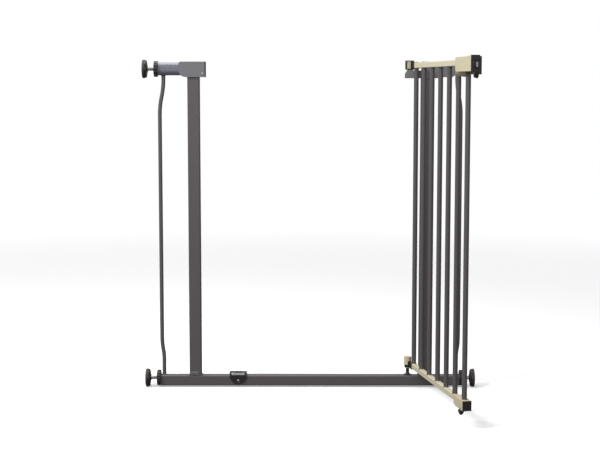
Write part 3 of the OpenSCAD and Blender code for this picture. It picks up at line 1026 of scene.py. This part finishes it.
def loose_parts(shape: BMesh) -> list[list[Vector]]:
    """Groups a mesh's points by the part that they are joined in.

    Args:
        shape: The mesh.

    Returns:
        Each part's points.
    """
    left, parts = set(shape.verts), []
    while left:
        reached = [left.pop()]
        points = []
        while reached:
            vertex = reached.pop()
            points.append(vertex.co.copy())
            near = {edge.other_vert(vertex) for edge in vertex.link_edges} & left
            left -= near
            reached.extend(near)
        parts.append(points)
    return parts


@dataclass
class Catch:
    """The threshold catch on the bottom rail, with its strip and its screw."""

    edge: float = 0.7 * MM

    def build(self, shop: Workshop) -> None:
        """Makes the catch's pieces.

        Args:
            shop: Where pieces are finished.
        """
        shop.soften_nodes(self.edge, "catch_base")
        shop.soften_nodes(0.15 * MM, "catch_strike")
        low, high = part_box("catch_screw")
        radius, height = (high.x - low.x) / 2, 1.9 * MM
        stem = lathe([(0, -5 * MM), (2 * MM, -5 * MM), (2 * MM, 0), (0, 0)], 32)
        screw = joined(screw_head(radius, height), stem)
        centre = (low + high) / 2
        place = Matrix.Translation((centre.x, low.y + height, centre.z))
        turn = Matrix.Rotation(math.pi / 2, 4, "X")
        shop.piece(screw, "catch_screw_finished", "catch_screw", place=place @ turn)


@dataclass
class Hinges:
    """The stem, pins, bushes, knuckles and covers that the door turns on."""

    neck: float = 3.85 * MM
    socket: float = 3 * MM
    socket_depth: float = 6 * MM
    flare_steps: int = 10
    flare_step: float = 0.6 * MM
    flare_power: float = 1.6

    def build(self, shop: Workshop) -> None:
        """Makes the hinges' pieces.

        Args:
            shop: Where pieces are finished.
        """
        self.stem(shop)
        shop.soften_nodes(0.5 * MM, "hinge_pins")
        shop.soften_nodes(0.3 * MM, "lower_hinge_bush", "upper_hinge_bush")
        shop.soften_nodes(0.7 * MM, "upper_knuckle", "lower_knuckle")
        shop.soften_nodes(0.35 * MM, "upper_knuckle_cover", "lower_knuckle_cover")

    def stem(self, shop: Workshop) -> None:
        """Turns the lower stem, which flares to its foot in a smooth curve.

        Args:
            shop: Where pieces are finished.
        """
        low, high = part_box("lower_hinge_stem")
        foot, neck, socket = (high.x - low.x) / 2, self.neck, self.socket
        curve = []
        for step in range(self.flare_steps + 1):
            left = 1 - math.sin(step / self.flare_steps * math.pi / 2)
            radius = neck + (foot - neck) * left**self.flare_power
            curve.append((radius, low.z + MM + step * self.flare_step))
        profile = [
            (0, low.z),
            (foot, low.z),
            *curve,
            (neck, high.z),
            (socket, high.z),
            (socket, high.z - self.socket_depth),
            (0, high.z - self.socket_depth),
        ]
        shape = soften(lathe(profile), 0.25 * MM, 2, math.radians(50))
        centre = middle((low, high))
        place = Matrix.Translation((centre.x, centre.y, 0))
        shop.piece(shape, "lower_hinge_stem_finished", "lower_hinge_stem", place=place)


@dataclass
class Door:
    """The door's two rails and its seven bars."""

    bead: float = 1.2 * MM
    bars: int = 7

    def build(self, shop: Workshop) -> None:
        """Makes the rails and bars.

        Args:
            shop: Where pieces are finished.
        """
        shop.soften_nodes(0.3 * MM, "door_top_rail", "door_bottom_rail")
        for number in range(1, self.bars + 1):
            self.bar(shop, f"door_bar_{number}")

    def bar(self, shop: Workshop, node: str) -> None:
        """Makes one bar, with a bead of weld at each end.

        Args:
            shop: Where pieces are finished.
            node: The bar's node.
        """
        low, high = door_box(node)
        radius = (high.x - low.x) / 2
        profile = [(0, low.z), (radius, low.z), (radius, high.z), (0, high.z)]
        place = upright((low, high))
        shop.piece(lathe(profile), f"{node}_finished", node, place=place)
        foot = moved(weld_bead(radius, self.bead), Matrix.Translation((0, 0, low.z)))
        over = Matrix.Translation((0, 0, high.z)) @ Matrix.Rotation(math.pi, 4, "X")
        head = moved(weld_bead(radius, self.bead), over)
        shop.detail(joined(foot, head), f"{node}_welds", node, place=place)


@dataclass
class Handle:
    """The handle at the door's free end, with its latch."""

    edge: float = 2.4 * MM
    ridges: int = 6
    ridge_pitch: float = 1.35 * MM
    ridge_width: float = 0.7 * MM
    ridge_start: float = 11.4 * MM
    ridge_drop: float = 0.8 * MM
    coil_turns: int = 7
    coil_steps: int = 32
    pressed_share: float = 0.36
    wire: float = 0.5 * MM

    def build(self, shop: Workshop) -> None:
        """Makes the handle's pieces.

        Args:
            shop: Where pieces are finished.
        """
        shop.soften_nodes(self.edge, "handle_collar", "handle_front_shell", "handle_rear_shell")
        shop.soften_nodes(0.5 * MM, "latch_end_plate")
        shop.soften_nodes(0.35 * MM, "latch_bolt", "thumb_slide")
        screws = screws_from_cad("handle_screws", ON_DOOR)
        shop.piece(screws, "handle_screws_finished", "handle_screws")
        self.slide_ridges(shop)
        self.spring(shop)

    def slide_ridges(self, shop: Workshop) -> None:
        """Lays a row of grip ridges across the thumb slide's lower step.

        Args:
            shop: Where pieces are finished.
        """
        low, high = door_box("thumb_slide")
        top, half = high.z - self.ridge_drop, 0.4 * MM
        ridges = []
        for number in range(self.ridges):
            x = low.x + self.ridge_start + number * self.ridge_pitch
            corner = Vector((x, low.y + MM, top - half))
            ridge = block(corner, Vector((x + self.ridge_width, high.y - MM, top + half)))
            ridges.append(soften(ridge, 0.25 * MM, 2))
        shop.detail(joined(*ridges), "thumb_slide_ridges", "thumb_slide", place=ON_DOOR)

    def spring(self, shop: Workshop) -> None:
        """Winds the spring behind the bolt.

        Args:
            shop: Where pieces are finished.
        """
        low, high = door_box("bolt_spring")
        centre = middle((low, high))
        length = high.x - low.x - 2 * self.wire
        winding = (high.z - low.z) / 2 - self.wire
        coil = bmesh.new()
        place = Matrix.Translation((winding, 0, 0)) @ Matrix.Rotation(math.pi / 2, 4, "X")
        bmesh.ops.create_circle(coil, segments=12, radius=self.wire, matrix=place, cap_ends=True)
        steps = self.coil_turns * self.coil_steps
        bmesh.ops.spin(
            coil,
            geom=coil.verts[:] + coil.edges[:] + coil.faces[:],
            cent=(0, 0, 0),
            axis=(0, 0, 1),
            dvec=(0, 0, length / steps),
            angle=math.tau * self.coil_turns,
            steps=steps,
        )
        lay = Matrix.Translation((low.x + self.wire, centre.y, centre.z))
        turn = Matrix.Rotation(math.pi / 2, 4, "Y")
        place = ON_DOOR @ lay @ turn
        shop.piece(tidied(coil), "bolt_spring_finished", "bolt_spring", place=place)
        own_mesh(bpy.data.objects["bolt_spring_finished"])


@dataclass
class Boot:
    """The boot on the door's lower corner, with its cap and its drop pin."""

    edge: float = 1.6 * MM
    bore: float = 3 * MM
    tip: float = 4 * MM
    taper: float = 5.9 * MM
    ribs: int = 10
    tip_steps: int = 8
    tip_bulge: float = 0.6

    def build(self, shop: Workshop) -> None:
        """Makes the boot's pieces.

        Args:
            shop: Where pieces are finished.
        """
        shop.soften_nodes(self.edge, "lower_boot")
        shop.soften_nodes(0.4 * MM, "boot_end_cap")
        self.holder(shop)
        self.pin(shop)

    def holder(self, shop: Workshop) -> None:
        """Makes the tapered holder of the drop pin, with ribs round it.

        Args:
            shop: Where pieces are finished.
        """
        low, high = door_box("pin_holder")
        radius, bore, tip = (high.x - low.x) / 2, self.bore, self.tip
        shoulder = low.z + self.taper
        profile = [
            (bore, low.z),
            (tip, low.z),
            (radius, shoulder),
            (radius, high.z),
            (bore, high.z),
            (bore, low.z),
        ]
        solids = [soften(lathe(profile), 0.3 * MM, 2)]
        for number in range(self.ribs):
            rib = block(
                Vector((radius - 0.5 * MM, -0.35 * MM, shoulder)),
                Vector((radius + 0.4 * MM, 0.35 * MM, high.z - 0.3 * MM)),
            )
            soften(rib, 0.15 * MM, 2)
            turn = Matrix.Rotation(math.tau * number / self.ribs, 4, "Z")
            solids.append(moved(rib, turn))
        place = upright((low, high))
        shop.piece(joined(*solids), "pin_holder_finished", "pin_holder", place=place)

    def pin(self, shop: Workshop) -> None:
        """Turns the drop pin, with a rounded tip.

        Args:
            shop: Where pieces are finished.
        """
        low, high = door_box("drop_pin")
        radius = (high.x - low.x) / 2
        tip = []
        for step in range(self.tip_steps + 1):
            angle = step / self.tip_steps * math.pi / 2
            rise = radius * self.tip_bulge * (1 - math.cos(angle))
            tip.append((radius * math.sin(angle), low.z + rise))
        shape = lathe([*tip, (radius, high.z), (0, high.z)])
        shop.piece(shape, "drop_pin_finished", "drop_pin", place=upright((low, high)))


@dataclass
class WallSpindle:
    """One corner's hand wheel, threaded rod and wall pad."""

    corner: str
    lead: float = 2 * MM
    thread_steps: int = 36
    groove_pitch: float = 2.6 * MM
    grooves: int = 5

    def build(self, shop: Workshop) -> None:
        """Makes the corner's pieces.

        Args:
            shop: Where pieces are finished.
        """
        side = -1 if "left" in self.corner else 1
        self.wheel(shop, side)
        self.rod(shop, side)
        self.pad(shop, side)

    def wheel(self, shop: Workshop, side: int) -> None:
        """Rounds the fluted wheel and raises a ring on its outer face.

        Args:
            shop: Where pieces are finished.
            side: -1 for the left wall and 1 for the right one.
        """
        node = f"{self.corner}_wheel"
        low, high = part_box(node)
        radius = (high.z - low.z) / 2
        shop.soften_nodes(1.1 * MM, node)
        face = (high.x if side > 0 else -low.x) - 1.5 * MM
        outer, inner, rise = 0.8 * radius, 0.66 * radius, 0.7 * MM
        ring = [
            (inner, -rise),
            (outer, -rise),
            (outer, 0.4 * rise),
            (outer - 0.4 * rise, rise),
            (inner + 0.4 * rise, rise),
            (inner, 0.4 * rise),
            (inner, -rise),
        ]
        place = outward(side, side * face, middle((low, high)).z)
        shop.detail(lathe(ring, 72), f"{node}_ring", node, place=place)

    def rod(self, shop: Workshop, side: int) -> None:
        """Cuts a right-hand thread along the rod.

        Args:
            shop: Where pieces are finished.
            side: -1 for the left wall and 1 for the right one.
        """
        node = f"{self.corner}_spindle"
        low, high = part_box(node)
        radius, length = (high.z - low.z) / 2, high.x - low.x
        root = radius - 0.62 * MM
        crest, flank = 0.12 * self.lead, 0.45 * self.lead
        heights = (0, crest, flank, self.lead - flank, self.lead - crest, self.lead)
        radii = (radius, radius, root, root, radius, radius)
        thread = bmesh.new()
        points = [thread.verts.new((r, 0, h - self.lead)) for r, h in zip(radii, heights)]
        edges = [thread.edges.new(pair) for pair in zip(points, points[1:])]
        turns = math.ceil(length / self.lead) + 2
        steps = turns * self.thread_steps
        bmesh.ops.spin(
            thread,
            geom=points + edges,
            cent=(0, 0, 0),
            axis=(0, 0, 1),
            dvec=(0, 0, self.lead / self.thread_steps),
            angle=math.tau * turns,
            steps=steps,
        )
        bmesh.ops.remove_doubles(thread, verts=thread.verts, dist=MERGE)
        for height, up in ((0.0, False), (length, True)):
            bmesh.ops.bisect_plane(
                thread,
                geom=thread.verts[:] + thread.edges[:] + thread.faces[:],
                plane_co=(0, 0, height),
                plane_no=(0, 0, 1),
                clear_outer=up,
                clear_inner=not up,
            )
            rim = [e for e in thread.edges if e.is_boundary and near_plane(e, height)]
            bmesh.ops.contextual_create(thread, geom=rim)
        bmesh.ops.recalc_face_normals(thread, faces=thread.faces)
        start = low.x if side > 0 else high.x
        place = outward(side, start, middle((low, high)).z)
        shop.piece(thread, f"{node}_finished", node, place=place)

    def pad(self, shop: Workshop, side: int) -> None:
        """Turns the glossy cup and, in front of it, the rubber disc with its grooves.

        Args:
            shop: Where pieces are finished.
            side: -1 for the left wall and 1 for the right one.
        """
        node = f"{self.corner}_pad"
        low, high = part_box(node)
        radius, depth = (high.z - low.z) / 2, high.x - low.x
        rod, neck, cup = 4 * MM, 8 * MM, 6.5 * MM
        shell = [
            (0, 4 * MM),
            (rod, 4 * MM),
            (rod, 0),
            (neck - 0.6 * MM, 0),
            (neck, 0.5 * MM),
            (neck + 2 * MM, 1.2 * MM),
            (radius - 4 * MM, 2.1 * MM),
            (radius - 2 * MM, 2.6 * MM),
            (radius - 1.1 * MM, 3.7 * MM),
            (radius - MM, cup),
            (0, cup),
        ]
        place = outward(side, low.x if side > 0 else high.x, middle((low, high)).z)
        disc = [(0, cup), (radius - 0.5 * MM, cup), (radius, cup + 0.5 * MM)]
        disc += [(radius, depth - 1.2 * MM), (radius - 0.4 * MM, depth - 0.4 * MM)]
        disc.append((radius - 1.2 * MM, depth))
        for ring in range(self.grooves):
            r = radius - 3.4 * MM - ring * self.groove_pitch
            disc += [(r + 0.5 * MM, depth), (r + 0.3 * MM, depth - 0.6 * MM)]
            disc += [(r - 0.3 * MM, depth - 0.6 * MM), (r - 0.5 * MM, depth)]
        disc.append((0, depth))
        shop.piece(lathe(disc, 72), f"{node}_rubber", node, place=place)
        shop.detail(lathe(shell, 72), f"{node}_cup", node, "dark_plastic", place)


def near_plane(edge: BMEdge, height: float) -> bool:
    """Whether both ends of an edge lie at a height."""
    return all(abs(vertex.co.z - height) < MERGE for vertex in edge.verts)


# ---- studio -----------------------------------------------------------------------------------


@dataclass(frozen=True)
class Lamp:
    """One soft panel of light."""

    name: str
    place: tuple[float, float, float]
    size: float
    power: float

    def build(self, target: Vector) -> None:
        """Hangs the panel and aims it.

        Args:
            target: The point that it faces.
        """
        data = bpy.data.lights.new(self.name, "AREA")
        data.shape = "DISK"
        data.size = self.size
        data.energy = self.power
        lamp = bpy.data.objects.new(self.name, data)
        lamp.location = self.place
        aim = target - Vector(self.place)
        lamp.rotation_euler = aim.to_track_quat("-Z", "Y").to_euler()
        bpy.context.scene.collection.objects.link(lamp)


LAMPS = (
    Lamp("key light", (-1.9, -1.3, 2.3), 1.0, 68.0),
    Lamp("fill light", (0.4, -3.2, 1.2), 1.6, 17.0),
    Lamp("top light", (-0.3, 0.2, 2.6), 1.4, 22.0),
)


@dataclass
class Studio:
    """The camera, the floor and the light."""

    camera_place: tuple[float, float, float] = (-0.0115, -3.0527, 0.6897)
    camera_tilt: float = 1.4681
    camera_turn: float = 0.0039
    lens: float = 79.73
    floor_size: float = 8.0
    floor_clear: float = 3.4
    floor_emission: float = 0.3
    floor_albedo: tuple[float, float, float, float] = (0.9, 0.9, 0.9, 1)
    bounce_albedo: tuple[float, float, float, float] = (0.14, 0.14, 0.14, 1)
    aim: tuple[float, float, float] = (0, 0, 0.4)
    sky: float = 0.34

    def build(self) -> None:
        """Makes the whole studio."""
        self.camera()
        self.floor()
        self.light()

    def camera(self) -> None:
        """Stands the camera in front of the gate."""
        data = bpy.data.cameras.new("camera")
        data.sensor_width = 36
        data.lens = self.lens
        data.clip_end = 100
        camera = bpy.data.objects.new("camera", data)
        camera.location = self.camera_place
        camera.rotation_euler = (self.camera_tilt, 0, self.camera_turn)
        bpy.context.scene.collection.objects.link(camera)
        bpy.context.scene.camera = camera

    def floor(self) -> None:
        """Lays a plain pale floor under the lowest point."""
        shape = bmesh.new()
        level = Matrix.Translation((0, 0, cad_box[0][2]))
        bmesh.ops.create_grid(shape, size=self.floor_size / 2, matrix=level)
        mesh = bpy.data.meshes.new("studio_floor")
        shape.to_mesh(mesh)
        shape.free()
        thing = bpy.data.objects.new("studio_floor", mesh)
        mesh.materials.append(self.floor_paint())
        bpy.context.scene.collection.objects.link(thing)

    def floor_paint(self) -> bpy.types.Material:
        """Makes the floor's paint, which fades out at its edge and casts little light back.

        Returns:
            The material.
        """
        material = bpy.data.materials.new("pale floor")
        material.use_nodes = True
        graph = Graph(material.node_tree)
        across = {0: graph.place()}
        away = graph.add("ShaderNodeVectorMath", across, operation="LENGTH").outputs["Value"]
        fade = graph.add(
            "ShaderNodeMapRange",
            {"Value": away, "From Min": 1.0, "From Max": self.floor_clear, "To Min": 1.0, "To Max": 0.0},
        ).outputs[0]
        shader = graph.tree.nodes["Principled BSDF"]
        graph.tree.links.new(fade, shader.inputs["Alpha"])
        shader.inputs["Base Color"].default_value = self.floor_albedo
        shader.inputs["Roughness"].default_value = 0.9
        shader.inputs["Specular IOR Level"].default_value = 0.1
        shader.inputs["Emission Color"].default_value = WHITE
        shader.inputs["Emission Strength"].default_value = self.floor_emission
        seen = graph.add("ShaderNodeLightPath").outputs["Is Camera Ray"]
        felt = graph.add("ShaderNodeBsdfDiffuse", {"Color": self.bounce_albedo})
        mixed = graph.add("ShaderNodeMixShader", {0: seen, 1: felt.outputs[0], 2: shader.outputs[0]})
        output = graph.tree.nodes["Material Output"]
        graph.tree.links.new(mixed.outputs[0], output.inputs["Surface"])
        return material

    def light(self) -> None:
        """Sets a soft sky that shows as white, and hangs the panels."""
        scene = bpy.context.scene
        scene.view_settings.view_transform = "Standard"
        scene.view_settings.look = "None"
        world = bpy.data.worlds.new("white room")
        world.use_nodes = True
        graph = Graph(world.node_tree)
        seen = graph.add("ShaderNodeLightPath").outputs["Is Camera Ray"]
        strength = graph.add("ShaderNodeMapRange", {"Value": seen, "To Min": self.sky}).outputs[0]
        background = world.node_tree.nodes["Background"]
        background.inputs["Color"].default_value = WHITE
        graph.tree.links.new(strength, background.inputs["Strength"])
        scene.world = world
        for lamp in LAMPS:
            lamp.build(Vector(self.aim))


def main() -> None:
    """Builds the studio and every piece of the gate."""
    logging.basicConfig(level=logging.INFO, format="%(name)s: %(message)s")
    Studio().build()
    shop = Workshop()
    parts = [RailFrame(), Housings(), Catch(), Hinges(), Door(), Handle(), Boot()]
    corners = ("upper_left", "upper_right", "lower_left", "lower_right")
    parts += [WallSpindle(corner) for corner in corners]
    for part in parts:
        part.build(shop)


if __name__ == "__main__":
    main()
